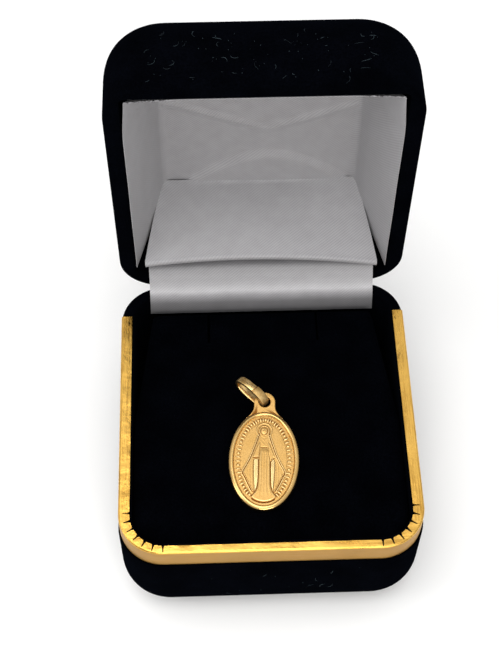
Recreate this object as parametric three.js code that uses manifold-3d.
// Religious medal pendant with its jump ring, lying on the pad of an open hinged presentation box.
// Millimetres, +Z up, +Y towards the hinge. The origin is the centre of the box's underside.
import * as THREE from "three";
import { mergeVertices } from "three/addons/utils/BufferGeometryUtils.js";
import Module from "manifold-3d";

const wasm = await Module();
wasm.setup();

// Box
const boxWidth = 54;
const boxDepth = 56;
const baseHeight = 26;
const lidHeight = 18.5;
const cornerRadius = 7.8; // plan corners of both halves
const edgeInset = 5; // how far the rolled edge draws the walls in
const edgeRise = 10.5; // how far up the wall the rolled edge reaches
const wallSwell = 0.4; // how far the base's velvet stands out below the trim
const baseWall = 2.1;
const baseFloor = 2.4;
const lidWall = 2.9;
const lidTop = 2;
const clearance = 0.3; // kept between pieces that touch
const lidOpenAngle = 90;
const lidInnerCorner = 1.2; // plan corners of the lid's opening
const leastArc = 0.5; // the tightest corner of any outline
const cornerSteps = 7; // facets round a plan corner
const edgeSteps = 6; // facets round a rolled edge
const roundShare = 1 - Math.SQRT1_2; // of a small round's radius, where its middle point lies

// Gold trim round the rim of the base
const trimThickness = 0.5;
const trimHeight = 4.7;
const trimFlange = 2.05; // along both sides
const trimFrontFlange = 1.5;
const trimProud = 0.15; // how far its face stands out of the velvet
const trimSetback = 6.7; // from the back of the box to the trim's ends
const slitCount = 7; // V slits in the flange at each front corner
const slitWidth = 0.45; // at the flange's inner edge
const slitReach = 1.2; // from there to the slit's point

// Velvet pad
const padRecess = 2; // below the rim
const padBackGap = 5; // from the back of the box to the pad's back edge
const padBackWidth = 42.4;
const padTaperShare = 0.5; // of the pad's length, where the side reaches the wall
const padEdgeRadius = 0.8;
const padFoot = 5.5; // how far the pad's lower edge is drawn in
const padFootRise = 8.1; // and how high that slope reaches
const padSlitSpan = 20.9; // between the two slits
const padSlitLength = 7;
const padSlitWidth = 0.6;
const padSlitDepth = 3;

// Satin hinge cover, with the recess that both rims leave for it
const coverInset = 5.3; // from the box's sides
const coverThickness = 1;
const coverSteps = 16;
const recessDepth = 1.3;
const recessLip = 0.9; // wall left standing outside the recess

// Satin lining of the lid: a tapering liner and the loose panel beside the hinge
const liningThickness = 1;
const liningTaper = 3.7; // how far the sides lean in on the way to the ceiling
const liningCorner = 3;
const panelRimHeight = 6.75; // from the hinge line to the panel's front edge
const panelBackHeight = 14.2; // from the hinge line to the crease at the ceiling
const panelBow = 2.2; // the middle of the front edge stands this much higher
const panelSkew = 0.6; // and its left end this much higher than the mean
const panelSteps = 10;

// Medal
const medalWidth = 12.9;
const medalLength = 19.6;
const medalThickness = 1.3;
const medalChamfer = 0.3;
const rimWidth = 1.05;
const rimStep = 0.15; // the inner bead above the outer land
const fieldDepth = 0.32; // the field below the bead
const medalSteps = 48;
const eyeletRadius = 1.95;
const eyeletBore = 1.1;
const eyeletReach = 1.8; // from the oval's end to the eyelet's centre
const eyeletThickness = 1.05;
const eyeletSteps = 24;
const shoulderShare = 0.56; // of the half width, where the neck's flare meets the oval
const medalPlace = [-0.96, -10.3];
const medalTurn = -3;
const medalTilt = 3.3; // the eyelet's end is lifted by the jump ring
const reliefHeight = 0.36; // the crown of the robe above the field
const reliefRoot = 0.5; // how deep its forms are rooted below the field
const grainCount = 46; // raised grains of the border
const grainInset = 1.78;
const grainLength = 0.78;
const grainWidth = 0.4;
const grainOpening = 64; // degrees left free at the foot

// Jump ring: a flat band bent to an oval, standing on its long side
const ringLength = 7.2;
const ringHeight = 3.9;
const ringSquareness = 2.4; // 2 is an ellipse, and more is blunter
const ringBand = 1.5;
const ringThickness = 0.62;
const ringSteps = 20; // facets round the oval
const ringTurn = 134; // heading of its far end
const ringLean = 2;
const ringSeam = 100; // degrees from the far end over the top to the band's seam
const ringLapEnd = 205; // degrees from the far end to where the lapped end runs out
const ringLapStep = 4; // degrees over which the seam's step rises
const ringLapGain = 1.2; // how much thicker the lapped end is

const rad = THREE.MathUtils.degToRad;
const halfWidth = boxWidth / 2;
const halfDepth = boxDepth / 2;
const padTop = baseHeight - padRecess;
const coverWidth = boxWidth - 2 * coverInset;

// A closed geometry as a solid with its faces pointing out.
function toSolid(geometry) {
  const bare = geometry.index ? geometry.toNonIndexed() : geometry.clone();
  bare.deleteAttribute("normal");
  bare.deleteAttribute("uv");
  const merged = mergeVertices(bare, 1e-4);
  const vertProperties = new Float32Array(merged.attributes.position.array);
  const triVerts = new Uint32Array(merged.index.array);
  const made = new wasm.Manifold(new wasm.Mesh({ numProp: 3, vertProperties, triVerts }));
  if (made.volume() > 0) return made;
  const flipped = triVerts.slice().reverse();
  return new wasm.Manifold(new wasm.Mesh({ numProp: 3, vertProperties, triVerts: flipped }));
}

function toMesh(name, solid, material) {
  const { numProp, vertProperties, triVerts } = solid.getMesh();
  const geometry = new THREE.BufferGeometry();
  const position = new THREE.InterleavedBuffer(vertProperties, numProp);
  geometry.setAttribute("position", new THREE.InterleavedBufferAttribute(position, 3, 0));
  geometry.setIndex(new THREE.BufferAttribute(new Uint32Array(triVerts), 1));
  const faceted = geometry.toNonIndexed();
  faceted.computeVertexNormals();
  const mesh = new THREE.Mesh(faceted, material);
  mesh.name = name;
  return mesh;
}

// A solid through rows of points [x, y, z]. The two end rows are capped, or joined in a loop.
function skin(rows, { loop = false, capOutline = null } = {}) {
  const count = rows[0].length;
  const index = [];
  const spans = loop ? rows.length : rows.length - 1;
  for (let row = 0; row < spans; row++) {
    const next = (row + 1) % rows.length;
    for (let i = 0; i < count; i++) {
      const j = (i + 1) % count;
      const [a, b] = [row * count + i, row * count + j];
      const [c, d] = [next * count + j, next * count + i];
      index.push(a, b, c, a, c, d);
    }
  }
  if (!loop) {
    const outline = capOutline.map(([x, y]) => new THREE.Vector2(x, y));
    const clockwise = THREE.ShapeUtils.area(outline) < 0;
    const last = (rows.length - 1) * count;
    for (const [a, p, q] of THREE.ShapeUtils.triangulateShape(outline, [])) {
      const [b, c] = clockwise ? [q, p] : [p, q];
      index.push(a, c, b, last + a, last + b, last + c);
    }
  }
  const geometry = new THREE.BufferGeometry();
  geometry.setAttribute("position", new THREE.Float32BufferAttribute(rows.flat(2), 3));
  geometry.setIndex(index);
  return toSolid(geometry);
}

// An outline of [y, z] points drawn out along X.
function prismAlongX(points, fromX, toX) {
  const shape = new THREE.Shape(points.map(([y, z]) => new THREE.Vector2(y, z)));
  const geometry = new THREE.ExtrudeGeometry(shape, { depth: toX - fromX, bevelEnabled: false });
  const axes = new THREE.Matrix4().makeBasis(
    new THREE.Vector3(0, 1, 0),
    new THREE.Vector3(0, 0, 1),
    new THREE.Vector3(1, 0, 0),
  );
  return toSolid(geometry.applyMatrix4(axes).translate(fromX, 0, 0));
}

function box(from, to) {
  const [dx, dy, dz] = [0, 1, 2].map((k) => to[k] - from[k]);
  const geometry = new THREE.BoxGeometry(dx, dy, dz);
  return toSolid(geometry.translate(from[0] + dx / 2, from[1] + dy / 2, from[2] + dz / 2));
}

// Plan outline of the box, anticlockwise, drawn in by an inset. Each row is [x, y].
function boxOutline(inset, arc = cornerRadius) {
  const points = [];
  for (let quarter = 0; quarter < 4; quarter++) {
    const sideX = quarter === 0 || quarter === 3 ? 1 : -1;
    const sideY = quarter < 2 ? 1 : -1;
    for (let i = 0; i <= cornerSteps; i++) {
      const angle = (Math.PI / 2) * (quarter + i / cornerSteps);
      points.push([
        sideX * (halfWidth - inset - arc) + arc * Math.cos(angle),
        sideY * (halfDepth - inset - arc) + arc * Math.sin(angle),
      ]);
    }
  }
  return points;
}

// Rolled edge as rows of inset and height, from the flat face to the wall.
function rolledEdge(inset, height, reach, rise) {
  return Array.from({ length: edgeSteps + 1 }, (_, i) => {
    const angle = ((Math.PI / 2) * i) / edgeSteps;
    return {
      inset: inset + reach * (1 - Math.sin(angle)),
      z: height + rise * (1 - Math.cos(angle)),
    };
  });
}

// A tray's rings, each an outline and its height: outside up from the flat face, over the rim,
// and down the inside, whose plan corners keep the radius given. The wall swells out up to a
// shoulder below the rim.
function trayRings({ wall, floor, height, innerCorner, swell, shoulder }) {
  const reach = Math.max(edgeInset - wall, leastArc);
  const rise = Math.max(edgeRise - floor, leastArc);
  const outer = [
    ...rolledEdge(-swell, 0, edgeInset, edgeRise),
    { inset: -swell, z: shoulder },
    { inset: 0, z: height },
  ];
  const inner = [{ inset: wall, z: height }, ...rolledEdge(wall, floor, reach, rise).reverse()];
  return [
    ...outer.map(({ inset, z }) => ({ outline: boxOutline(inset), z })),
    ...inner.map(({ inset, z }) => ({ outline: boxOutline(inset, innerCorner), z })),
  ];
}

// Base shell, with the ledge that the trim wraps and the recess for the hinge cover.
const trimSink = trimThickness - trimProud + clearance;

function hingeRecess(wall) {
  const half = coverWidth / 2 + clearance;
  return box(
    [-half, halfDepth - wall - 1, baseHeight - recessDepth],
    [half, halfDepth - recessLip, baseHeight + 1],
  );
}

// The rim's path from one back end of the trim, round the front, to the other.
// Each station has its place on the outline, the direction into the box, and how far it has
// turned from the side (0) to the front (1).
function rimPath(setback) {
  const back = halfDepth - setback;
  const left = [{ place: [-halfWidth, back], into: [1, 0], turned: 0 }];
  for (let i = 0; i <= cornerSteps; i++) {
    const angle = Math.PI + ((Math.PI / 2) * i) / cornerSteps;
    const [c, s] = [Math.cos(angle), Math.sin(angle)];
    left.push({
      place: [
        -halfWidth + cornerRadius + cornerRadius * c,
        -halfDepth + cornerRadius + cornerRadius * s,
      ],
      into: [-c, -s],
      turned: i / cornerSteps,
    });
  }
  const right = left.map(({ place, into, turned }) => ({
    place: [-place[0], place[1]],
    into: [-into[0], into[1]],
    turned,
  }));
  return [...left, ...right.reverse()];
}

// A section's point is its depth into the box, its height and, where that differs, its depth
// at the front.
function alongRim(section, setback) {
  const rows = rimPath(setback).map(({ place, into, turned }) =>
    section.map(([side, z, front = side]) => {
      const depth = side + (front - side) * turned;
      return [place[0] + into[0] * depth, place[1] + into[1] * depth, z];
    }),
  );
  return skin(rows, { capOutline: section });
}

const trimLedge = alongRim(
  [
    [-1, baseHeight - trimHeight - clearance],
    [trimSink, baseHeight - trimHeight - clearance],
    [trimSink, baseHeight - trimThickness - clearance],
    [baseWall + 1, baseHeight - trimThickness - clearance],
    [baseWall + 1, baseHeight + 1],
    [-1, baseHeight + 1],
  ],
  trimSetback - clearance,
);

const baseRings = trayRings({
  wall: baseWall,
  floor: baseFloor,
  height: baseHeight,
  innerCorner: Math.max(cornerRadius - baseWall, leastArc),
  swell: wallSwell,
  shoulder: baseHeight - trimHeight - clearance,
});
const baseShell = skin(
  baseRings.map(({ outline, z }) => outline.map(([x, y]) => [x, y, z])),
  { capOutline: boxOutline(0) },
)
  .subtract(trimLedge)
  .subtract(hingeRecess(baseWall));

// Trim: a folded strip, slit from its inner edge where it turns the front corners.
function slit(side, step) {
  const turned = step / (slitCount - 1);
  const angle = (Math.PI / 2) * turned;
  const [c, s] = [side * Math.cos(angle), -Math.sin(angle)];
  const centre = [side * (halfWidth - cornerRadius), -(halfDepth - cornerRadius)];
  const flange = trimFlange + (trimFrontFlange - trimFlange) * turned;
  const mouth = cornerRadius + trimProud - flange;
  const half = slitWidth / 2;
  const points = [
    [mouth + slitReach, 0],
    [mouth - slitReach, 2 * half],
    [mouth - slitReach, -2 * half],
  ].map(([along, across]) => [
    centre[0] + c * along - s * across,
    centre[1] + s * along + c * across,
  ]);
  const low = baseHeight - trimThickness - 1;
  const rows = [low, baseHeight + 1].map((z) => points.map(([x, y]) => [x, y, z]));
  return skin(rows, { capOutline: points });
}

const trimInner = trimFlange - trimProud;
const trimInnerFront = trimFrontFlange - trimProud;
let trim = alongRim(
  [
    [-trimProud, baseHeight - trimHeight],
    [trimThickness - trimProud, baseHeight - trimHeight],
    [trimThickness - trimProud, baseHeight - trimThickness],
    [trimInner, baseHeight - trimThickness, trimInnerFront],
    [trimInner, baseHeight, trimInnerFront],
    [-trimProud, baseHeight],
  ],
  trimSetback,
);
for (const side of [-1, 1]) {
  for (let step = 0; step < slitCount; step++) trim = trim.subtract(slit(side, step));
}

// Pad: a tapering block with rounded upper edges and two slits at the back.
const padCornerRadius = cornerRadius - baseWall - clearance;

function padOutline(inset) {
  const back = halfDepth - padBackGap - inset;
  const front = -halfDepth + baseWall + clearance + inset;
  const wide = halfWidth - baseWall - clearance - inset;
  const narrow = padBackWidth / 2 - inset;
  const taperEnd = back - (back - front) * padTaperShare;
  const radius = Math.max(padCornerRadius - inset, leastArc);
  const right = [
    [narrow, back],
    [wide, taperEnd],
  ];
  for (let i = 0; i <= cornerSteps; i++) {
    const angle = (Math.PI / 2) * (i / cornerSteps);
    right.push([
      wide - radius + radius * Math.cos(angle),
      front + radius - radius * Math.sin(angle),
    ]);
  }
  return [...right.map(([x, y]) => [-x, y]), ...right.reverse()];
}

const padRows = [
  { inset: padFoot, z: baseFloor + clearance },
  { inset: 0, z: baseFloor + clearance + padFootRise },
  { inset: 0, z: padTop - padEdgeRadius },
  { inset: roundShare * padEdgeRadius, z: padTop - roundShare * padEdgeRadius },
  { inset: padEdgeRadius, z: padTop },
];
let pad = skin(
  padRows.map(({ inset, z }) => padOutline(inset).map(([x, y]) => [x, y, z])),
  { capOutline: padOutline(0) },
);
for (const side of [-1, 1]) {
  const x = (side * padSlitSpan) / 2;
  const back = halfDepth - padBackGap;
  pad = pad.subtract(
    box(
      [x - padSlitWidth / 2, back - padSlitLength, padTop - padSlitDepth],
      [x + padSlitWidth / 2, back + 1, padTop + 1],
    ),
  );
}

// Hinge cover: its route as [y, z] from the hinge line, then a band of even thickness along it.
// It starts between the pad and the base's wall, and ends over the lid's wall under the panel.
const hingeLine = [0, halfDepth, baseHeight + clearance / 2];
const coverAtPad = -(baseWall + padBackGap) / 2 - clearance;
const coverAtLid = lidWall + 2 * clearance + coverThickness / 2;
const coverRoute = [
  [coverAtPad, -2 * padRecess],
  [0.9 * coverAtPad, -padRecess],
  [0.75 * coverAtPad, -0.2 * padRecess],
  [0.5 * coverAtPad, 0.25 * coverAtLid],
  [0.24 * coverAtPad, 0.5 * coverAtLid],
  [0.12 * recessDepth, 0.84 * coverAtLid],
  [recessDepth, 1.12 * coverAtLid],
  [2.6 * recessDepth, 1.24 * coverAtLid],
];

function bandProfile(route, thickness, steps) {
  const curve = new THREE.SplineCurve(route.map(([y, z]) => new THREE.Vector2(y, z)));
  const [above, below] = [[], []];
  for (let i = 0; i <= steps; i++) {
    const at = curve.getPoint(i / steps);
    const along = curve.getTangent(i / steps);
    const across = [(-along.y * thickness) / 2, (along.x * thickness) / 2];
    above.push([at.x + across[0], at.y + across[1]]);
    below.push([at.x - across[0], at.y - across[1]]);
  }
  return [...above, ...below.reverse()];
}

const coverProfile = bandProfile(coverRoute, coverThickness, coverSteps).map(([y, z]) => [
  y + hingeLine[1],
  z + hingeLine[2],
]);
const cover = prismAlongX(coverProfile, -coverWidth / 2, coverWidth / 2);

// Lid, modelled closed about the hinge line: it runs to -Y, with its rim half a clearance up.
const lidRim = clearance / 2;

function lidRow(points, z) {
  return points.map(([x, y]) => [x, y - halfDepth, z]);
}

function lidShellSolid() {
  const rings = trayRings({
    wall: lidWall,
    floor: lidTop,
    height: lidHeight,
    innerCorner: lidInnerCorner,
    swell: 0,
    shoulder: lidHeight - trimHeight,
  });
  const rows = rings.map(({ outline, z }) => lidRow(outline, lidRim + lidHeight - z));
  const half = coverWidth / 2 + clearance;
  return skin(rows, { capOutline: boxOutline(0) }).subtract(
    box([-half, -lidWall - 1, -1], [half, -recessLip, lidRim + recessDepth]),
  );
}

// The liner's wall at the rim and at the ceiling, as insets from the box's outline.
const linerRim = lidWall + clearance;
const linerCeiling = linerRim + liningTaper;
const ceilingZ = lidRim + lidHeight - lidTop - clearance - liningThickness;
const linerStart = lidRim + clearance;

function linerRow(inset, arc, z) {
  return lidRow(boxOutline(inset, arc), z);
}

// The panel's lower face in the closed lid, from the rim to the ceiling.
const panelFront = { y: -panelRimHeight, z: linerStart };
const panelBack = { y: -panelBackHeight, z: ceilingZ - clearance };

const soft = 0.5 * liningCorner; // round between the liner's sides and its ceiling

function linerSolid() {
  const wall = liningThickness;
  const rimArc = Math.max(lidInnerCorner - clearance, leastArc);
  const rows = [
    linerRow(linerCeiling + soft, liningCorner, ceilingZ + wall),
    linerRow(linerCeiling, liningCorner + wall, ceilingZ + wall - 2 * roundShare * soft),
    linerRow(linerRim, rimArc, linerStart),
    linerRow(linerRim + wall, leastArc, linerStart),
    linerRow(linerCeiling + wall, liningCorner, ceilingZ - soft),
    linerRow(linerCeiling + wall + roundShare * soft, liningCorner, ceilingZ - roundShare * soft),
    linerRow(linerCeiling + wall + soft, liningCorner, ceilingZ),
  ];
  const drop = liningThickness + clearance;
  const below = panelSkew + drop;
  const wedge = [
    [panelFront.y + below, -1],
    [panelFront.y + below, panelFront.z],
    [panelBack.y + drop, panelBack.z],
    [panelBack.y + drop, ceilingZ + wall + 1],
    [1, ceilingZ + wall + 1],
    [1, -1],
  ];
  return skin(rows, { capOutline: boxOutline(0) }).subtract(
    prismAlongX(wedge, -boxWidth, boxWidth),
  );
}

// The panel: a card that narrows to the ceiling, bowed and a little skewed at its front edge.
const panelShares = [0, 0.3, 0.6, 0.88, 1];

function panelHalf(share) {
  const z = panelFront.z + (panelBack.z - panelFront.z) * share;
  const lean = Math.min(1, (z - linerStart) / (ceilingZ - soft - linerStart));
  const round = share === 1 ? soft : 0;
  return halfWidth - linerRim - liningThickness - clearance - liningTaper * lean - round;
}

function panelSolid() {
  const rows = [];
  for (let i = 0; i <= panelSteps; i++) {
    const across = (2 * i) / panelSteps - 1;
    const bow = panelBow * (1 - across * across) - panelSkew * across;
    const top = panelShares.map((share) => [
      across * panelHalf(share),
      panelFront.y + (panelBack.y - panelFront.y) * share - (1 - share) * bow,
      panelFront.z + (panelBack.z - panelFront.z) * share,
    ]);
    const under = top.map(([x, y, z]) => [x, y + liningThickness, z]).reverse();
    rows.push([...top, ...under]);
  }
  const capOutline = rows[0].map(([, y, z]) => [y, z]);
  return skin(rows, { capOutline });
}

// Medal, modelled flat with its underside at zero and its eyelet towards +Y.
const fieldLevel = medalThickness - fieldDepth;
const eyeletY = medalLength / 2 + eyeletReach;

function ovalRow(inset, z, count = medalSteps) {
  return Array.from({ length: count }, (_, i) => {
    const angle = (2 * Math.PI * i) / count;
    return [
      (medalWidth / 2 - inset) * Math.cos(angle),
      (medalLength / 2 - inset) * Math.sin(angle),
      z,
    ];
  });
}

function disc(radius, x, y, from, to, count) {
  const geometry = new THREE.CylinderGeometry(radius, radius, to - from, count);
  geometry.rotateX(Math.PI / 2).translate(x, y, (from + to) / 2);
  return toSolid(geometry);
}

function planForm(shape, from, to) {
  const geometry = new THREE.ExtrudeGeometry(shape, {
    depth: to - from,
    bevelEnabled: false,
    curveSegments: 8,
  });
  return toSolid(geometry.translate(0, 0, from));
}

// The rim's face: its inset as a share of the rim's width, and its height.
const land = medalThickness - rimStep;
const rimProfile = [
  [0.28, land],
  [0.45, land],
  [0.55, medalThickness],
  [0.85, medalThickness],
  [1, fieldLevel],
];

function medalPlate() {
  const oval = skin(
    [
      ovalRow(medalChamfer, 0),
      ovalRow(0, medalChamfer),
      ovalRow(0, land - medalChamfer),
      ...rimProfile.map(([share, z]) => ovalRow(share * rimWidth, z)),
    ],
    { capOutline: ovalRow(0, 0) },
  );
  const shoulderX = (shoulderShare * medalWidth) / 2;
  const shoulderY = (medalLength / 2) * Math.sqrt(1 - shoulderShare ** 2);
  const neckY = eyeletY - 0.5 * eyeletRadius;
  const inner = shoulderY - rimWidth;
  const neck = new THREE.Shape();
  neck.moveTo(eyeletRadius, eyeletY);
  neck.lineTo(eyeletRadius, neckY);
  neck.quadraticCurveTo(eyeletRadius, shoulderY + 0.5 * rimWidth, shoulderX, shoulderY);
  neck.lineTo(shoulderX - rimWidth, shoulderY);
  neck.lineTo(eyeletRadius, inner + rimWidth);
  neck.lineTo(-eyeletRadius, inner + rimWidth);
  neck.lineTo(-shoulderX + rimWidth, shoulderY);
  neck.lineTo(-shoulderX, shoulderY);
  neck.quadraticCurveTo(-eyeletRadius, shoulderY + 0.5 * rimWidth, -eyeletRadius, neckY);
  neck.lineTo(-eyeletRadius, eyeletY);
  const low = (land - eyeletThickness) / 2;
  const high = low + eyeletThickness;
  const field = skin([ovalRow(rimWidth, fieldLevel), ovalRow(rimWidth, medalThickness + 1)], {
    capOutline: ovalRow(0, 0),
  });
  return planForm(neck, low, high)
    .subtract(field)
    .add(oval)
    .add(disc(eyeletRadius, 0, eyeletY, low, high, eyeletSteps))
    .subtract(disc(eyeletBore, 0, eyeletY, -1, medalThickness + 1, eyeletSteps));
}

// Low relief. A form is a row of cross sections up the medal: y and the two edges as shares of
// the medal's half length and half width, and the crown as a share of the relief's height.
const halfLong = medalLength / 2;
const halfWide = medalWidth / 2;
const reliefFloor = fieldLevel - reliefRoot;

function reliefForm(table) {
  const rows = table.map(({ y, left, right, crown }) => {
    const middle = (left + right) / 2;
    const half = (right - left) / 2;
    const top = [1, 0.8, 0.4, -0.4, -0.8, -1].map((across) => [
      (middle + half * across) * halfWide,
      y * halfLong,
      fieldLevel + crown * reliefHeight * (1 - 0.8 * across ** 4),
    ]);
    return [
      [left * halfWide, y * halfLong, reliefFloor],
      [right * halfWide, y * halfLong, reliefFloor],
      ...top,
    ];
  });
  return skin(rows, { capOutline: rows[0].map(([x, , z]) => [x, z]) });
}

const mantle = [
  { y: 0.6, left: -0.11, right: 0.11, crown: 0.5 },
  { y: 0.52, left: -0.145, right: 0.145, crown: 0.6 },
  { y: 0.37, left: -0.21, right: 0.21, crown: 0.65 },
  { y: 0.08, left: -0.35, right: 0.35, crown: 0.62 },
  { y: -0.25, left: -0.59, right: 0.59, crown: 0.5 },
  { y: -0.29, left: -0.57, right: 0.57, crown: 0.5 },
  { y: -0.64, left: -0.32, right: 0.32, crown: 0.4 },
];
const robe = [
  { y: 0.48, left: -0.08, right: 0.08, crown: 0.7 },
  { y: 0.36, left: -0.14, right: 0.14, crown: 0.95 },
  { y: 0.25, left: -0.1, right: 0.1, crown: 0.9 },
  { y: 0.0, left: -0.13, right: 0.15, crown: 1 },
  { y: -0.4, left: -0.11, right: 0.15, crown: 1 },
  { y: -0.6, left: -0.18, right: 0.22, crown: 0.85 },
  { y: -0.72, left: -0.34, right: 0.34, crown: 0.6 },
];
const rays = [
  { y: 0.03, left: 0.19, right: 0.3, crown: 0.6 },
  { y: -0.28, left: 0.17, right: 0.31, crown: 0.8 },
  { y: -0.56, left: 0.19, right: 0.3, crown: 0.8 },
  { y: -0.65, left: 0.24, right: 0.28, crown: 0.6 },
];
const sleeve = [
  { y: 0.14, left: 0.19, right: 0.27, crown: 0.6 },
  { y: 0.05, left: 0.15, right: 0.33, crown: 0.95 },
  { y: -0.01, left: 0.2, right: 0.32, crown: 0.8 },
];
const belt = [
  { y: 0.27, left: -0.1, right: 0.1, crown: 1.1 },
  { y: 0.245, left: -0.1, right: 0.1, crown: 1.1 },
];
const globe = [
  { y: -0.7, left: -0.38, right: 0.38, crown: 0.5 },
  { y: -0.77, left: -0.32, right: 0.32, crown: 0.6 },
  { y: -0.83, left: -0.14, right: 0.14, crown: 0.45 },
];
const halo = { y: 0.595, radius: 0.24, crown: 0.4 };
const veil = { y: 0.585, across: 0.15, along: 0.115, crown: 0.85 };
const face = { y: 0.58, across: 0.095, along: 0.085, crown: 1.2 };

function mirrored(table) {
  return table.map(({ left, right, ...rest }) => ({ ...rest, left: -right, right: -left }));
}

// A squashed ball pressed into the field.
function dome({ y, across, along, crown }) {
  const ball = new THREE.SphereGeometry(1, 14, 8);
  ball.scale(across * halfWide, along * halfLong, crown * reliefHeight);
  return toSolid(ball.translate(0, y * halfLong, fieldLevel));
}

// A grain of the border: a small pointed bar that stands across the edge of the oval.
function grain(angle) {
  const x = (halfWide - grainInset) * Math.cos(angle);
  const y = (halfLong - grainInset) * Math.sin(angle);
  const heading = Math.atan2(y / halfLong ** 2, x / halfWide ** 2);
  const seed = new THREE.SphereGeometry(1, 6, 4);
  seed.scale(grainLength / 2, grainWidth / 2, 0.6 * reliefHeight);
  return toSolid(seed.rotateZ(heading).translate(x, y, fieldLevel));
}

function medalSolid() {
  let medal = medalPlate();
  const haloDisc = disc(
    halo.radius * halfWide,
    0,
    halo.y * halfLong,
    reliefFloor,
    fieldLevel + halo.crown * reliefHeight,
    20,
  );
  const forms = [mantle, robe, rays, mirrored(rays), sleeve, mirrored(sleeve), belt, globe];
  for (const form of [haloDisc, ...forms.map(reliefForm), dome(veil), dome(face)]) {
    medal = medal.add(form);
  }
  const start = rad(-90 + grainOpening / 2);
  const sweep = rad(360 - grainOpening);
  for (let i = 0; i < grainCount; i++) {
    medal = medal.add(grain(start + (sweep * i) / (grainCount - 1)));
  }
  return medal;
}

// Jump ring, modelled about the middle of its oval: its length along X, its height along Z and
// its band along Y. A section's point is its depth as a share of the thickness, from the inside
// out, and its place across the band.
const ringSection = [
  [0, -0.5],
  [0, 0.5],
  [0.6, 0.5],
  [1, 0.25],
  [1, -0.25],
  [0.6, -0.5],
];
const ringInner = { long: ringLength / 2 - ringThickness, high: ringHeight / 2 - ringThickness };
const ringLapped = ringThickness * ringLapGain;

function signedPower(value, exponent) {
  return Math.sign(value) * Math.abs(value) ** exponent;
}

// The band's section at a turn round the oval from its far end.
function ringRow(turn, thick) {
  const [c, s] = [Math.cos(turn), Math.sin(turn)];
  const along = 2 / ringSquareness;
  const facing = Math.atan2(
    signedPower(s, 2 - along) / ringInner.high,
    signedPower(c, 2 - along) / ringInner.long,
  );
  return ringSection.map(([depth, band]) => [
    ringInner.long * signedPower(c, along) + Math.cos(facing) * thick * depth,
    band * ringBand,
    ringInner.high * signedPower(s, along) + Math.sin(facing) * thick * depth,
  ]);
}

function ringRows() {
  const rows = [
    { turn: ringSeam, thick: ringThickness },
    { turn: ringSeam + ringLapStep, thick: ringLapped },
  ];
  for (let i = 0; i < ringSteps; i++) {
    const turn = (360 * i) / ringSteps;
    const lapped = turn > ringSeam && turn < ringLapEnd;
    const clear = Math.abs(turn - ringSeam - ringLapStep / 2) > ringLapStep;
    if (clear) rows.push({ turn, thick: lapped ? ringLapped : ringThickness });
  }
  rows.sort((a, b) => a.turn - b.turn);
  return rows.map(({ turn, thick }) => ringRow(rad(turn), thick));
}

function materialOf(color, roughness, metalness) {
  return new THREE.MeshStandardMaterial({ color, roughness, metalness });
}

const velvet = materialOf(0x08080b, 0.95, 0);
const satin = materialOf(0x8f8f93, 0.5, 0);
const giltTrim = materialOf(0xc99a3a, 0.3, 1);
const medalGold = materialOf(0xe2b36c, 0.4, 1);
const ringGold = materialOf(0xc9a060, 0.3, 1);

const group = new THREE.Group();
group.add(toMesh("base_shell", baseShell, velvet));
group.add(toMesh("base_trim", trim, giltTrim));
group.add(toMesh("velvet_pad", pad, velvet));
group.add(toMesh("hinge_cover", cover, satin));

const lid = new THREE.Group();
lid.position.set(...hingeLine);
lid.rotation.x = -rad(lidOpenAngle);
lid.add(toMesh("lid_shell", lidShellSolid(), velvet));
lid.add(toMesh("lid_lining", linerSolid(), satin));
lid.add(toMesh("lid_panel", panelSolid(), satin));
group.add(lid);

const medalGroup = new THREE.Group();
const medalLift = (medalLength / 2) * Math.sin(rad(medalTilt));
medalGroup.position.set(...medalPlace, padTop + clearance + medalLift);
medalGroup.rotation.set(rad(medalTilt), 0, rad(medalTurn), "ZXY");
medalGroup.add(toMesh("medal", medalSolid(), medalGold));
group.add(medalGroup);

// The ring's near end stands in the middle of the eyelet's bore.
const boreAt = new THREE.Vector3(0, eyeletY, 0)
  .applyEuler(medalGroup.rotation)
  .add(medalGroup.position);
const ringGroup = new THREE.Group();
ringGroup.position.set(boreAt.x, boreAt.y, padTop + clearance + ringHeight / 2);
ringGroup.rotation.set(rad(ringLean), 0, rad(ringTurn), "ZXY");
const ringMesh = toMesh("jump_ring", skin(ringRows(), { loop: true }), ringGold);
ringMesh.position.x = ringInner.long + ringLapped / 2;
ringGroup.add(ringMesh);
group.add(ringGroup);

export default group;
